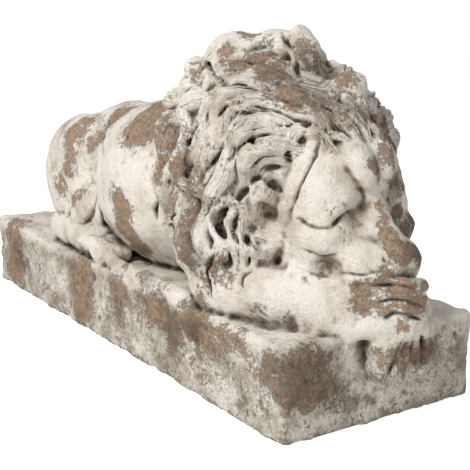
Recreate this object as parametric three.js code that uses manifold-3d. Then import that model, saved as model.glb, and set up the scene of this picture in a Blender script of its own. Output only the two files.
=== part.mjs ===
// A lion resting its chin on its crossed forepaws, cast in one with an oblong plinth.
// Millimetres, +Z up. The origin is the middle of the underside; +X runs to the lion's head, +Y to its left.
import * as THREE from "three";
import { mergeVertices } from "three/addons/utils/BufferGeometryUtils.js";
import Module from "manifold-3d";

const wasm = await Module();
wasm.setup();

// Plinth
const PLINTH_LENGTH = 846;
const PLINTH_WIDTH = 266;
const PLINTH_HEIGHT = 101;
const PLINTH_ROUNDING = 9;
const PLINTH_ROUNDING_FACETS = 3;
const PLINTH_SPARE = 20;
const REAR_RISE = 12;
const REAR_RISE_START = -190;
const REAR_RISE_END = -330;

// Lobes that make up the swelling forms. Each is the x, y and height of its middle above the plinth's top, its
// half length, half width and half height, and its tilt in degrees, nose down. A form's heart is a point inside
// it, and its stretch is about how far it reaches from there each way.
const TORSO = [
  [15, 0, 107, 172, 118, 122, 0],
  [-130, 0, 116, 150, 88, 103, 0],
  [-255, 0, 94, 98, 98, 100, 0],
];
const TORSO_BLEND = 26;
const TORSO_HEART = [-100, 0, 104];
const TORSO_STRETCH = [260, 105, 110];
const HAUNCH = [
  [-178, 70, 100, 108, 50, 98, 0],
  [-105, 92, 62, 46, 30, 40, 0],
];
const HAUNCH_BLEND = 9;
const MANE = [
  [236, 0, 136, 136, 108, 138, 0],
  [200, 0, 230, 98, 80, 70, 0],
  [138, 0, 164, 96, 94, 98, 0],
];
const MANE_SIDE = [
  [240, 66, 126, 96, 46, 108, 0],
  [238, 88, 69, 70, 40, 72, 0],
];
const MANE_BLEND = 25;
const MANE_HEART = [215, 0, 140];
const MANE_STRETCH = [150, 110, 140];
const HEAD = [
  [318, 0, 140, 76, 66, 66, 0],
  [350, 0, 108, 52, 70, 56, 0],
  [414, 0, 106, 50, 21, 19, 42],
  [446, 0, 84, 15, 24, 15, 20],
  [390, 0, 56, 52, 36, 16, 0],
];
const HEAD_SIDE = [
  [382, 11, 166, 30, 17, 36, -10],
  [360, 43, 139, 34, 30, 31, 6],
  [368, 52, 92, 34, 27, 23, 8],
  [352, 50, 66, 40, 28, 24, 0],
  [406, 24, 80, 38, 25, 25, 20],
  [441, 20, 77, 12, 10, 11, 0],
];
const HEAD_BLEND = 6;
const HEAD_HEART = [362, 0, 110];
const HEAD_STRETCH = [95, 75, 75];
const BREAST = [320, 0, 26, 105, 84, 44, 0];
const EAR = [326, 92, 134, 18, 15, 19, 0];
const CROWN = [
  [208, -36, 278, 40, 38, 32, 0],
  [214, 34, 276, 40, 38, 30, 0],
  [236, -4, 292, 42, 34, 22, 0],
  [284, -6, 288, 18, 19, 30, -28],
  [152, -62, 264, 15, 15, 14, 0],
  [320, 30, 249, 20, 18, 18, 0],
];

// Limbs, as points along their middle lines (x, y, height above the plinth's top) with a radius for each point.
const FOREARM_RIGHT = [[258, -98, 28], [335, -76, 27], [400, -38, 31], [424, -10, 32]];
const FOREARM_LEFT = [[258, 98, 28], [335, 80, 22], [406, 44, 8], [424, 20, -14]];
const FOREARM_RADII = [38, 34, 29, 26];
const FINGER_ROOT = [423, -31];
const FINGER_KNUCKLE = [451, -3];
const FINGER_TIP = [449, 18];
const FINGER_ARCH = 2;
const FINGER_HEIGHTS = [51, 37, 22, 6];
const FINGER_RADII = [10, 10, 11, 15];
const TOE_TOPS = [[434, -10, -6], [438, 8, -10], [438, 22, -12], [432, 34, -6]];
const TOE_TIPS = [[437, -31, -40], [439, -6, -46], [438, 27, -42], [433, 41, -30]];
const TOE_RADII = [17, 15, 13, 12];
const HIND_FOOT = [[-205, 94, 26], [-140, 100, 26], [-70, 104, 24]];
const HIND_FOOT_RADII = [27, 26, 24];
const HIND_TOES = 3;
const HIND_TOE_LINE = [[-75, 24], [-38, 24], [-18, 14]];
const HIND_TOE_PITCH = 15;
const HIND_TOE_FIRST = 88;
const HIND_TOE_RADIUS = 13;
const TAIL = [
  [-60, -108, 8],
  [20, -117, 10],
  [120, -123, 10],
  [215, -127, 7],
  [246, -134, -12],
  [252, -138, -30],
];
const TAIL_RADII = [13, 14, 13, 12, 14, 8];
const BAND = [
  [368, -52, 204],
  [365, -64, 170],
  [352, -74, 138],
  [341, -80, 107],
  [331, -87, 67],
  [310, -94, 22],
];
const BAND_RADII = [11, 14, 15, 17, 20, 22];

// The mane is laid out round the axis of the face: an angle from the top of the head and a distance behind it.
const FACE = [345, 0, 136];
const FACE_DROP = 21.7;
const MANE_RADIUS = 110;
const MANE_REACH = 260;

// Locks of one side: first angle and distance, last angle and distance, bow, sway, half width and half depth.
const LOCKS = [
  [16, 34, 52, 88, 12, 0, 14, 12],
  [33, 76, 80, 119, 30, 0, 17, 15],
  [35, 112, 74, 182, 18, 0, 16, 13],
  [38, 52, 81, 84, 24, 0, 16, 15],
  [46, 36, 90, 58, 22, 0, 15, 15],
  [56, 20, 98, 30, 20, 0, 15, 15],
  [58, 160, 94, 138, 48, 0, 16, 14],
  [92, 176, 124, 58, 4, 22, 14, 14],
  [114, 96, 144, 30, 0, 12, 13, 13],
  [82, 76, 118, 40, 8, -10, 13, 14],
  [92, 104, 122, 74, 6, -10, 13, 13],
  [103, 20, 140, 0, 2, 9, 11, 12],
  [106, 60, 142, 28, 2, 10, 12, 13],
  [112, 190, 142, 160, 8, -9, 13, 12],
  [120, 152, 140, 92, 4, 10, 13, 12],
  [56, 200, 96, 236, 10, 6, 15, 12],
  [16, 168, 52, 222, 10, 6, 17, 14],
];
// Locks down the back of the neck: first x and y, last x and y, then as above.
const NAPE = [
  [168, 26, 62, 34, 6, 8, 17, 13],
  [150, 66, 48, 78, 8, -8, 16, 13],
];
const FORELOCKS = 4;
const FORELOCK_SPREAD = 11;
const FORELOCK_FAN = 16;
const FORELOCK_LENGTH = 64;
const FORELOCK_HALF = 11;
const FORELOCK_STAGGER = 3;
const FORELOCK_BOW = 6;
const FORELOCK_SWAY = 4;
const LOCK_STEP = 0.02;
const LOCK_TAPER = 0.6;
const LOCK_ARCH = 0.7;
const LOCK_ROOT = 0.3;
const LEFT_SKIP = 3;
const ANGLE_SPREAD = 5;
const DISTANCE_SPREAD = 12;
const SPREAD_STEP = (Math.sqrt(5) - 1) / 2;

// How finely each form is faceted, round it and along it.
const TORSO_FACETS = [20, 12];
const MANE_FACETS = [20, 14];
const HAUNCH_FACETS = [12, 9];
const HEAD_FACETS = [26, 18];
const LUMP_FACETS = [8, 6];
const LIMB_FACETS = [8, 8];
const TAIL_FACETS = [7, 11];
const FINGER_FACETS = [6, 5];
const TOE_FACETS = [5, 5];
const LOCK_FACETS = [5, 6];
const LIMB_BLUNTNESS = 0.25;
const LIMB_OVERRUN = 0.8;
const LIMB_OUT = new THREE.Vector3(0.6, 0.2, 1);
const LOCK_BLUNTNESS = 0.55;
const WRAP_LIMIT = 3;
const HALVINGS = 24;
const SLOPE_STEP = 1.5;
const TINY = 1e-6;
const JOIN_TOLERANCE = 0.4;

const CAST_COLOUR = "#d8cfbf";
const CAST_ROUGHNESS = 0.9;
const CAST_METALNESS = 0;

const point = ([x, y, height]) => new THREE.Vector3(x, y, PLINTH_HEIGHT + height);
const mirrored = ([x, y, ...rest]) => [x, -y, ...rest];
const bothSides = (lobes) => [...lobes, ...lobes.map(mirrored)];
const radians = THREE.MathUtils.degToRad;

// An even but irregular spread between -0.5 and 0.5.
const spread = (count) => ((count * SPREAD_STEP) % 1) - 0.5;

// The distance from a point to a tilted lobe, below nought inside it.
function lobeDistance(place, [x, y, height, length, width, rise, tilt]) {
  const local = place.clone().sub(point([x, y, height]));
  local.applyAxisAngle(new THREE.Vector3(0, 1, 0), -radians(tilt));
  const size = new THREE.Vector3(length, width, rise);
  const scaled = local.divide(size);
  const near = scaled.length();
  const steep = scaled.divide(size).length();
  return (near * (near - 1)) / Math.max(steep, TINY);
}

// The smaller of two distances, rounded where they meet.
function melt(first, second, blend) {
  const overlap = Math.max(blend - Math.abs(first - second), 0) / blend;
  return Math.min(first, second) - (overlap * overlap * blend) / 4;
}

const form = (lobes, blend) => (place) =>
  lobes.map((lobe) => lobeDistance(place, lobe)).reduce((sum, next) => melt(sum, next, blend));

// How far a form reaches from a point inside it along a direction.
function reach(shape, from, direction, furthest) {
  let low = 0;
  let high = furthest;
  for (let i = 0; i < HALVINGS; i++) {
    const middle = (low + high) / 2;
    if (shape(from.clone().addScaledVector(direction, middle)) < 0) low = middle;
    else high = middle;
  }
  return low;
}

// A closed solid from a geometry whose shared corners are merged.
function solid(geometry) {
  geometry.deleteAttribute("normal");
  geometry.deleteAttribute("uv");
  const merged = mergeVertices(geometry);
  const vertProperties = new Float32Array(merged.attributes.position.array);
  const triVerts = new Uint32Array(merged.index.array);
  return new wasm.Manifold(new wasm.Mesh({ numProp: 3, vertProperties, triVerts, tolerance: JOIN_TOLERANCE }));
}

// A sphere with its poles on X, each corner moved by a function.
function moulded([around, along], move) {
  const geometry = new THREE.SphereGeometry(1, around, along).rotateZ(Math.PI / 2);
  const corners = geometry.attributes.position;
  const corner = new THREE.Vector3();
  for (let i = 0; i < corners.count; i++) {
    const moved = move(corner.fromBufferAttribute(corners, i));
    corners.setXYZ(i, moved.x, moved.y, moved.z);
  }
  return solid(geometry);
}

// A sphere stretched from a point inside a form until it lies on the form.
function wrapped(shape, inside, stretch, facets) {
  const centre = point(inside);
  const size = new THREE.Vector3(...stretch);
  return moulded(facets, (corner) => {
    const ray = corner.clone().multiply(size);
    return centre.clone().addScaledVector(ray, reach(shape, centre, ray, WRAP_LIMIT));
  });
}

const lump = (lobe, facets) => wrapped(form([lobe], 1), lobe.slice(0, 3), lobe.slice(3, 6), facets);

// A sphere drawn out along a path. The path gives, from 0 to 1, a point, the direction out of the surface, and
// the half width and half depth there.
function drawn(path, facets, bluntness) {
  return moulded(facets, (corner) => {
    const share = (1 + THREE.MathUtils.clamp(corner.x, -1, 1)) / 2;
    const ring = new THREE.Vector2(corner.y, corner.z);
    const radius = ring.length();
    const swell = radius < TINY ? 0 : Math.pow(radius, bluntness) / radius;
    const { place, along, out, width, depth } = path(share);
    const side = out.clone().cross(along).normalize();
    const lift = along.clone().cross(side).normalize();
    return place
      .clone()
      .addScaledVector(side, ring.x * swell * width)
      .addScaledVector(lift, ring.y * swell * depth);
  });
}

// A round limb through points, running on past each end by most of its radius.
function limb(points, radii, facets) {
  const places = points.map(point);
  const last = places.length - 1;
  const lead = places[0].clone().sub(places[1]).setLength(radii[0] * LIMB_OVERRUN);
  const trail = places[last].clone().sub(places[last - 1]).setLength(radii[last] * LIMB_OVERRUN);
  places[0].add(lead);
  places[last].add(trail);
  const curve = new THREE.CatmullRomCurve3(places);
  return drawn(
    (share) => {
      const along = curve.getTangent(share);
      const step = Math.min(Math.floor(share * last), last - 1);
      const width = THREE.MathUtils.lerp(radii[step], radii[step + 1], share * last - step);
      return { place: curve.getPoint(share), along, out: LIMB_OUT, width, depth: width };
    },
    facets,
    LIMB_BLUNTNESS,
  );
}

const torsoForm = form(TORSO, TORSO_BLEND);
const maneForm = form([...MANE, ...bothSides(MANE_SIDE)], MANE_BLEND);
const maneGround = form([...MANE, ...bothSides(MANE_SIDE), ...TORSO, HEAD[0]], MANE_BLEND);
const headForm = form([...HEAD, ...bothSides(HEAD_SIDE)], HEAD_BLEND);
const faceAxis = new THREE.Vector3(1, 0, 0).applyAxisAngle(new THREE.Vector3(0, 1, 0), radians(FACE_DROP));
const faceUp = new THREE.Vector3(0, 0, 1).applyAxisAngle(new THREE.Vector3(0, 1, 0), radians(FACE_DROP));
const left = new THREE.Vector3(0, 1, 0);
const up = new THREE.Vector3(0, 0, 1);

// The point of the mane's surface at a distance round from the top of the head and a distance behind the face.
function onMane(round, behind) {
  const angle = round / MANE_RADIUS;
  const from = point(FACE).addScaledVector(faceAxis, -behind);
  const direction = faceUp.clone().multiplyScalar(Math.cos(angle)).addScaledVector(left, Math.sin(angle));
  return from.addScaledVector(direction, reach(maneGround, from.clone(), direction, MANE_REACH));
}

// The direction straight out of the mane at a point.
function maneNormal(place) {
  const slope = ["x", "y", "z"].map((axis) => {
    const ahead = place.clone();
    const behind = place.clone();
    ahead[axis] += SLOPE_STEP;
    behind[axis] -= SLOPE_STEP;
    return maneGround(ahead) - maneGround(behind);
  });
  return new THREE.Vector3(...slope).normalize();
}

// The point of the mane's surface straight above a place on the plinth.
function onNape(x, y) {
  const from = point([x, y, 0]);
  return from.addScaledVector(up, reach(maneGround, from.clone(), up, 2 * MANE_REACH));
}

// One lock, laid on the mane between two flat places, bowed to one side or swaying to both.
function lock(settle, [firstX, firstY, lastX, lastY, bow, sway, half, deep]) {
  const start = new THREE.Vector2(firstX, firstY);
  const run = new THREE.Vector2(lastX, lastY).sub(start);
  const across = new THREE.Vector2(-run.y, run.x).normalize();
  if (across.y < 0) across.negate();
  const spot = (share) => {
    const bend = bow * Math.sin(Math.PI * share) + sway * Math.sin(2 * Math.PI * share);
    const flat = start.clone().addScaledVector(run, share).addScaledVector(across, bend);
    return settle(flat.x, flat.y);
  };
  return drawn(
    (share) => {
      const ground = spot(share);
      const along = spot(Math.min(share + LOCK_STEP, 1)).sub(spot(Math.max(share - LOCK_STEP, 0))).normalize();
      const out = maneNormal(ground);
      const taper = 1 - LOCK_TAPER * share ** 3;
      const lift = deep * (LOCK_ARCH * Math.sin(Math.PI * share) - LOCK_ROOT);
      const place = ground.addScaledVector(out, lift);
      return { place, along, out, width: half * taper, depth: deep * taper };
    },
    LOCK_FACETS,
    LOCK_BLUNTNESS,
  );
}

// A row of the lock table with its angles turned into distances round the head.
function laidOut([firstAngle, firstBehind, lastAngle, lastBehind, ...rest]) {
  const round = (angle) => radians(angle) * MANE_RADIUS;
  return [round(firstAngle), firstBehind, round(lastAngle), lastBehind, ...rest];
}

// The locks of both sides, the left ones fewer and shifted a little, those above the forehead and on the neck.
function locks() {
  const right = LOCKS.map(([first, start, last, ...rest]) => [-first, start, -last, ...rest]);
  const plainer = LOCKS.filter((_, i) => i % LEFT_SKIP !== LEFT_SKIP - 1);
  const leftSide = plainer.map(([first, start, last, end, ...rest], i) => {
    const turn = ANGLE_SPREAD * spread(2 * i);
    const shift = DISTANCE_SPREAD * spread(2 * i + 1);
    return [first + turn, start + shift, last + turn, end + shift, ...rest];
  });
  const front = Array.from({ length: FORELOCKS }, (_, i) => {
    const off = i - (FORELOCKS - 1) / 2;
    const start = FORELOCK_STAGGER * Math.abs(off);
    const ends = [off * FORELOCK_SPREAD, start, off * FORELOCK_FAN, FORELOCK_LENGTH];
    return [...ends, FORELOCK_BOW * off, FORELOCK_SWAY, FORELOCK_HALF, FORELOCK_HALF];
  });
  const nape = [...NAPE, ...NAPE.map(([x, y, lastX, lastY, ...rest]) => [x, -y, lastX, -lastY, ...rest])];
  return [
    ...[...right, ...leftSide, ...front].map((row) => lock(onMane, laidOut(row))),
    ...nape.map((row) => lock(onNape, row)),
  ];
}

// The plinth: its side outline, drawn across the width with rounded edges, and its underside trimmed flat.
function plinth() {
  const front = PLINTH_LENGTH / 2 - PLINTH_ROUNDING;
  const top = PLINTH_HEIGHT - PLINTH_ROUNDING;
  const outline = new THREE.Shape();
  outline.moveTo(-front, -PLINTH_SPARE);
  outline.lineTo(front, -PLINTH_SPARE);
  outline.lineTo(front, top);
  outline.lineTo(REAR_RISE_START, top);
  outline.lineTo(REAR_RISE_END, top + REAR_RISE);
  outline.lineTo(-front, top + REAR_RISE);
  const depth = PLINTH_WIDTH - 2 * PLINTH_ROUNDING;
  const block = new THREE.ExtrudeGeometry(outline, {
    depth,
    bevelSize: PLINTH_ROUNDING,
    bevelThickness: PLINTH_ROUNDING,
    bevelSegments: PLINTH_ROUNDING_FACETS,
  });
  block.translate(0, 0, -depth / 2).rotateX(Math.PI / 2);
  const trim = 2 * (PLINTH_SPARE + PLINTH_ROUNDING);
  const below = new THREE.BoxGeometry(2 * PLINTH_LENGTH, 2 * PLINTH_WIDTH, trim).translate(0, 0, -trim / 2);
  return solid(block).subtract(solid(below));
}

// Everything that is joined into the casting.
function pieces() {
  const parts = [plinth()];
  parts.push(wrapped(torsoForm, TORSO_HEART, TORSO_STRETCH, TORSO_FACETS));
  parts.push(wrapped(maneForm, MANE_HEART, MANE_STRETCH, MANE_FACETS));
  parts.push(wrapped(headForm, HEAD_HEART, HEAD_STRETCH, HEAD_FACETS));
  for (const side of [HAUNCH, HAUNCH.map(mirrored)]) {
    parts.push(wrapped(form(side, HAUNCH_BLEND), side[0].slice(0, 3), side[0].slice(3, 6), HAUNCH_FACETS));
  }
  for (const lobe of [BREAST, ...CROWN, EAR, mirrored(EAR)]) parts.push(lump(lobe, LUMP_FACETS));
  parts.push(limb(FOREARM_RIGHT, FOREARM_RADII, LIMB_FACETS));
  parts.push(limb(FOREARM_LEFT, FOREARM_RADII, LIMB_FACETS));
  FINGER_HEIGHTS.forEach((height, i) => {
    const rises = [[FINGER_ROOT, 0], [FINGER_KNUCKLE, FINGER_ARCH], [FINGER_TIP, -FINGER_ARCH]];
    const line = rises.map(([place, rise]) => [...place, height + rise]);
    parts.push(limb(line, line.map(() => FINGER_RADII[i]), FINGER_FACETS));
  });
  TOE_TOPS.forEach((top, i) => {
    parts.push(limb([top, TOE_TIPS[i]], [TOE_RADII[i], TOE_RADII[i]], FINGER_FACETS));
  });
  for (const flip of [(item) => item, mirrored]) {
    parts.push(limb(HIND_FOOT.map(flip), HIND_FOOT_RADII, LIMB_FACETS));
    for (let i = 0; i < HIND_TOES; i++) {
      const y = HIND_TOE_FIRST + HIND_TOE_PITCH * i;
      const line = HIND_TOE_LINE.map(([x, height]) => flip([x, y, height]));
      parts.push(limb(line, line.map(() => HIND_TOE_RADIUS), TOE_FACETS));
    }
    parts.push(limb(BAND.map(flip), BAND_RADII, LIMB_FACETS));
  }
  parts.push(limb(TAIL, TAIL_RADII, TAIL_FACETS));
  return [...parts, ...locks()];
}

// The triangles of the outer skin, the largest set that hangs together corner to corner.
function outerSkin({ numVert, triVerts }) {
  const owner = Array.from({ length: numVert }, (_, i) => i);
  const root = (i) => {
    while (owner[i] !== i) i = owner[i] = owner[owner[i]];
    return i;
  };
  for (let i = 0; i < triVerts.length; i += 3) {
    owner[root(triVerts[i + 1])] = root(triVerts[i]);
    owner[root(triVerts[i + 2])] = root(triVerts[i]);
  }
  const sizes = new Map();
  for (const corner of triVerts) sizes.set(root(corner), (sizes.get(root(corner)) ?? 0) + 1);
  const [largest] = [...sizes].sort((a, b) => b[1] - a[1])[0];
  return triVerts.filter((_, i) => root(triVerts[i - (i % 3)]) === largest);
}

// The outside of the joined casting as one geometry.
function casting() {
  const mesh = pieces()
    .reduce((whole, next) => whole.add(next))
    .getMesh();
  const geometry = new THREE.BufferGeometry();
  geometry.setAttribute("position", new THREE.BufferAttribute(new Float32Array(mesh.vertProperties), 3));
  geometry.setIndex(new THREE.BufferAttribute(outerSkin(mesh), 1));
  geometry.computeVertexNormals();
  return geometry;
}

const material = new THREE.MeshStandardMaterial({
  color: CAST_COLOUR,
  roughness: CAST_ROUGHNESS,
  metalness: CAST_METALNESS,
});
const statue = new THREE.Mesh(casting(), material);
statue.name = "lion_on_plinth";

const object = new THREE.Group();
object.add(statue);

export default object;
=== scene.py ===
"""The looks of a resting lion statue: one sculpted casting in flaking limewash, on a pale studio floor.

The casting is shaped as a distance field on a grid, in millimetres, with heights above the plinth's top,
and then meshed in metres. Places on its surface that are read off the photograph are pixels of its frame.
"""
import math

import bmesh
import bpy
import numpy as np
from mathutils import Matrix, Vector


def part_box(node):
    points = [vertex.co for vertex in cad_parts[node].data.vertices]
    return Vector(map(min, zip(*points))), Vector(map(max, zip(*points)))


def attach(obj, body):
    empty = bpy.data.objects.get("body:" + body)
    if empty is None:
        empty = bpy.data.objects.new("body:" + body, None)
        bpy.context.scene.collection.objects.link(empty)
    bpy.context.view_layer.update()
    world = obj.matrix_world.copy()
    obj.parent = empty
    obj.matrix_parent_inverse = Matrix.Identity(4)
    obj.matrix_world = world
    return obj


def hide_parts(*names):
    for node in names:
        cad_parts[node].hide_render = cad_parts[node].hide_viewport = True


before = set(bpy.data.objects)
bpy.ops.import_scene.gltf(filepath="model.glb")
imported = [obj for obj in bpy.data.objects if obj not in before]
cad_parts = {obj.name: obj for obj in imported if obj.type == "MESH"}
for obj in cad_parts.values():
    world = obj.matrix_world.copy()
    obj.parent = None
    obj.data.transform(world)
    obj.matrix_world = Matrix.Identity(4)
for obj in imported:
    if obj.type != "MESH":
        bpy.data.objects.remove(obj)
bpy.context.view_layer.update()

NODE = "lion_on_plinth"
METRES = 0.001

# The camera of the photograph
IMAGE_SIZE = 470
FOCAL_PIXELS = 861
SENSOR_WIDTH = 36
CAMERA_AZIMUTH = math.radians(56.4)
CAMERA_ELEVATION = math.radians(11.1)
CAMERA_PLACE = (1060, -615, 372)

# The grid and the mesh
CELL = 2
GRID_MARGIN = 12
GRID_SPARE = 3 * CELL
SKIN = 2 * CELL
FAR = 60
MOST_TRIANGLES = 185000
HALVINGS = 22
SLOPE_STEP = 1.5
TINY = 1e-6

# Plinth
PLINTH_LENGTH = 846
PLINTH_WIDTH = 266
PLINTH_HEIGHT = 101
PLINTH_ROUNDING = 8
PLINTH_BLEND = 7
REAR_RISE = 12
REAR_RISE_START = -190
REAR_RISE_END = -330

# Lobes: x, y and height of the middle, half length, half width and half height, and the tilt in degrees,
# front down.
TORSO = [
    (15, 0, 107, 172, 118, 122, 0),
    (-130, 0, 116, 150, 88, 103, 0),
    (-255, 0, 94, 98, 98, 100, 0),
]
TORSO_BLEND = 26
HAUNCH = [
    (-178, 70, 100, 108, 50, 98, 0),
    (-105, 92, 62, 46, 30, 40, 0),
]
HAUNCH_BLEND = 9
MANE = [
    (236, 0, 136, 136, 108, 138, 0),
    (200, 0, 230, 98, 80, 70, 0),
    (138, 0, 164, 96, 94, 98, 0),
]
MANE_SIDE = [
    (240, 66, 126, 96, 46, 108, 0),
    (238, 88, 69, 70, 40, 72, 0),
]
MANE_BLEND = 25
SKULL = [
    (318, 0, 140, 76, 66, 66, 0),
    (350, 0, 108, 52, 70, 56, 0),
]
SKULL_BLEND = 14
BROW_SIDE = [
    (374, 15, 164, 31, 23, 38, -10),
    (350, 34, 150, 38, 34, 40, 0),
]
CHEEK_SIDE = [
    (361, 38, 137, 35, 29, 30, 6),
    (366, 48, 99, 37, 29, 30, 8),
    (352, 50, 66, 40, 28, 24, 0),
    (404, 25, 76, 38, 24, 22, 18),
]
LEFT_CHEEK_SHARE = 0.8
FACE_BLEND = 13
NOSE = [
    (411, 0, 100, 46, 19, 16, 54),
    (435, 0, 83, 14, 19, 13, 30),
    (396, 0, 58, 50, 38, 20, 0),
]
NOSE_WING = (438, 14, 78, 10, 8, 8, 0)
NOSE_BRIDGE = [(404, 0, 133), (421, 0, 107), (438, 0, 86), (444, 0, 77)]
NOSE_BRIDGE_WIDTHS = [7, 10, 12, 10]
NOSE_BRIDGE_DEPTH = 5
NOSE_BRIDGE_OUT = (0.81, 0, 0.59)
BREAST = (320, 0, 26, 105, 84, 44, 0)
EAR = (326, 92, 134, 18, 15, 19, 0)
CROWN = [
    (208, -36, 278, 40, 38, 32, 0),
    (214, 34, 276, 40, 38, 30, 0),
    (236, -4, 292, 42, 34, 22, 0),
    (284, -6, 288, 18, 19, 30, -28),
    (150, -64, 267, 15, 15, 15, 0),
    (320, 30, 249, 20, 18, 18, 0),
]
CROWN_BLEND = 6
SCOOP = (434, -50, -56, 15, 20, 30, 0)

# Limbs: points along the middle line, with a radius for each.
FOREARM_RIGHT = [(258, -98, 28), (335, -76, 27), (400, -38, 31), (424, -10, 32)]
FOREARM_LEFT = [(258, 98, 28), (335, 80, 22), (406, 44, 8), (424, 20, -14)]
FOREARM_RADII = [38, 34, 28, 22]
FOREARM_BLEND = 10
FINGER_ROOT = (423, -31)
FINGER_KNUCKLE = (452, -4)
FINGER_TIP = (449, 18)
FINGER_ARCH = 2
FINGER_HEIGHTS = [51, 37, 22, 6]
FINGER_RADII = [9, 9, 9.5, 13]
LEFT_PALM = (431, 6, -20, 21, 40, 27, 0)
TOE_TOPS = [(438, -14, -12), (446, 10, -12), (443, 30, -8), (437, 44, -2)]
TOE_TIPS = [(442, -22, -32), (450, -6, -41), (448, 19, -42), (442, 37, -35)]
TOE_RADII = [18, 10.5, 10, 9]
TOE_BLEND = 1.5
HIND_FOOT = [(-205, 94, 26), (-140, 100, 26), (-70, 104, 24)]
HIND_FOOT_RADII = [27, 26, 24]
HIND_TOES = 4
HIND_TOE_LINE = [(-75, 23), (-38, 22), (-18, 10)]
HIND_TOE_FIRST = 86
HIND_TOE_PITCH = 12
HIND_TOE_RADII = [12, 12, 11]
TAIL = [(-60, -106, 4), (20, -115, 4), (120, -122, 4), (215, -126, 3), (246, -133, -12), (252, -137, -30)]
TAIL_RADII = [11, 11, 10, 11, 14, 8]
WRIST_FILLING = [(330, -84, 0), (402, -56, 5), (428, -32, 8), (448, -6, 7)]
WRIST_FILLING_RADII = [16, 15, 14, 13]
LIMB_BLEND = 5

# The band of hair that frames the face, as pixels along it.
BAND = [(322, 124), (311, 150), (299, 175), (288, 196), (281, 218), (273, 244), (262, 270)]
BAND_WIDTHS = [8, 11, 13, 13, 12, 15, 20]
BAND_DEPTHS = [5, 7, 8, 8, 8, 9, 10]
BAND_RISE = -2
BAND_STEPS = 24
BAND_BLEND = 3

# The mane is laid out round the axis of the face: an angle from the top of the head and a distance behind
# the face.
FACE = np.array((345, 0, 136))
FACE_DROP = math.radians(21.7)
FACE_AXIS = np.array((math.cos(FACE_DROP), 0, -math.sin(FACE_DROP)))
FACE_UP = np.array((math.sin(FACE_DROP), 0, math.cos(FACE_DROP)))
LEFT = np.array((0, 1, 0))
UP = np.array((0, 0, 1))
BOTH_SIDES = np.array(((1, 1, 1), (1, -1, 1)))
MANE_RADIUS = 110
MANE_REACH = 260

# Locks of one side: first angle and distance, last angle and distance, bow, sway, half width, half depth.
LOCKS = [
    (16, 34, 52, 88, 12, 0, 14, 12),
    (24, 66, 66, 150, 16, 4, 16, 13),
    (33, 76, 80, 119, 30, 0, 17, 15),
    (35, 112, 74, 182, 18, 0, 16, 13),
    (38, 52, 81, 84, 24, 0, 16, 15),
    (46, 36, 90, 58, 22, 0, 15, 15),
    (56, 20, 98, 30, 20, 0, 15, 15),
    (58, 160, 94, 138, 48, 0, 16, 14),
    (92, 176, 124, 58, 4, 22, 14, 14),
    (114, 96, 144, 30, 0, 12, 13, 13),
    (82, 76, 118, 40, 8, -10, 13, 14),
    (92, 104, 122, 74, 6, -10, 13, 13),
    (103, 20, 140, 0, 2, 9, 11, 12),
    (104, 40, 132, 10, 4, -10, 12, 13),
    (106, 60, 142, 28, 2, 10, 12, 13),
    (94, 220, 134, 210, 14, 8, 13, 12),
    (112, 190, 142, 160, 8, -9, 13, 12),
    (120, 152, 140, 92, 4, 10, 13, 12),
    (56, 200, 96, 236, 10, 6, 15, 12),
    (16, 168, 52, 222, 10, 6, 17, 14),
]
# Locks down the back of the neck: first x and y, last x and y, then as above.
NAPE = [
    (168, 26, 62, 34, 6, 8, 17, 13),
    (150, 66, 48, 78, 8, -8, 16, 13),
]
# Locks that sweep back from the forehead, and how far the left side's locks are shifted.
FORELOCKS = 4
FORELOCK_SPREAD = 11
FORELOCK_FAN = 16
FORELOCK_LENGTH = 64
FORELOCK_HALF = 11
FORELOCK_STAGGER = 3
FORELOCK_BOW = 6
FORELOCK_SWAY = 4
ANGLE_SPREAD = 5
DISTANCE_SPREAD = 12

# All locks: a lock swells from its root and tapers to its tip, and its middle lifts off the mane.
LOCK_STEPS = 13
LOCK_BLEND = 1
STRAND_WIDTH = 7.5
LOCK_GROOVE = 4
LOCK_ROOT = 0.45
LOCK_SWELL_START = 0.12
LOCK_SWELL_RUN = 0.83
LOCK_SWELL_LEAN = 0.8
LOCK_TAPER_POWER = 3
LOCK_WIDTH_TAPER = 0.6
LOCK_DEPTH_TAPER = 0.5
LOCK_LIFT = 0.85
LOCK_LIFT_RUN = 1.05
LOCK_SINK = 0.3

# The lower layer of smaller locks that fills the mane between the large ones.
FILL_ANGLES = np.arange(8, 140, 19)
FILL_DISTANCES = np.arange(24, 250, 33)
FILL_TURN = 30
FILL_RUN = 40
FILL_FLOW = 1.2
FILL_HALF = 11
FILL_DEPTH = 9
FILL_SINK = -4
FILL_SWAY = 9
FILL_SPREAD = 9

# The strands combed into the mane under its locks.
COMB_PITCH = 8
COMB_DEPTH = 3
COMB_WAVE = 45
COMB_SHIFT = 12
COMB_EDGE = 10
CROWN_COMB = 0.2

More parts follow.
